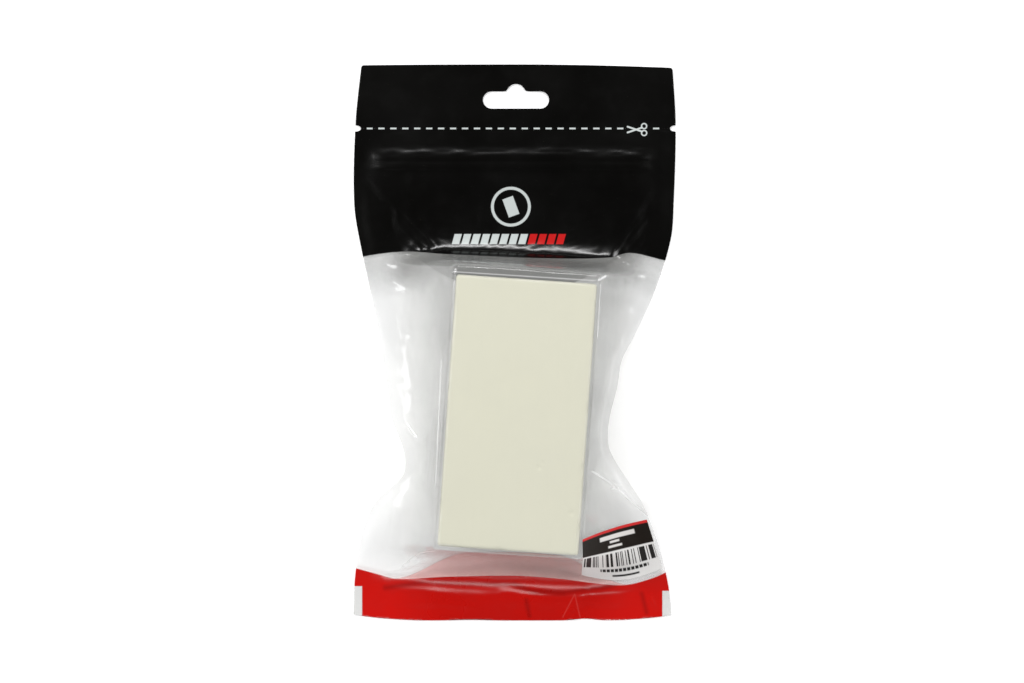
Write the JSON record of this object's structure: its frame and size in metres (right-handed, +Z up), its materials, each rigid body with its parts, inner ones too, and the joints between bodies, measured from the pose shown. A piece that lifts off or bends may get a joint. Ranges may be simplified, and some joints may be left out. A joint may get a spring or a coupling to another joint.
{
  "type": "chalk block in a zip pouch",
  "caption": "Flat press-to-close film pouch with a tear-off hanging header, a clear window and a rectangular block of pressed chalk inside.",
  "frame": {"origin": "under the middle of the pouch, on the surface it lies on", "axes": "+X across the pouch, +Y from its foot to its hang hole, +Z up from the surface, out of its printed front"},
  "size_m": [0.145, 0.25, 0.04],
  "materials": {
    "black_film": "gloss",
    "clear_film": "gloss",
    "zip_plastic": "satin",
    "label_paper": "satin",
    "chalk": "matte"
  },
  "bodies": {
    "pouch": {"back_film": "clear_film", "front_window_film": "clear_film", "zip_groove_strip": "zip_plastic", "price_label": "label_paper"},
    "mouth": {"front_mouth_film": "black_film", "zip_rib_strip": "zip_plastic"},
    "tear_off_header": {"header_front_film": "black_film", "header_back_film": "black_film"},
    "block": {"chalk_block": "chalk"}
  },
  "joints": [
    {"name": "mouth_open", "type": "slide", "parent": "pouch", "child": "mouth", "axis": [0, 0, 1], "range_m": [0, 0.025]},
    {"name": "header_tear_off", "type": "slide", "parent": "pouch", "child": "tear_off_header", "axis": [0, 1, 0], "range_m": [0, 0.04]},
    {"name": "block_shift", "type": "slide", "parent": "pouch", "child": "block", "axis": [0.0698, 0.9976, 0], "range_m": [0, 0.004]}
  ]
}
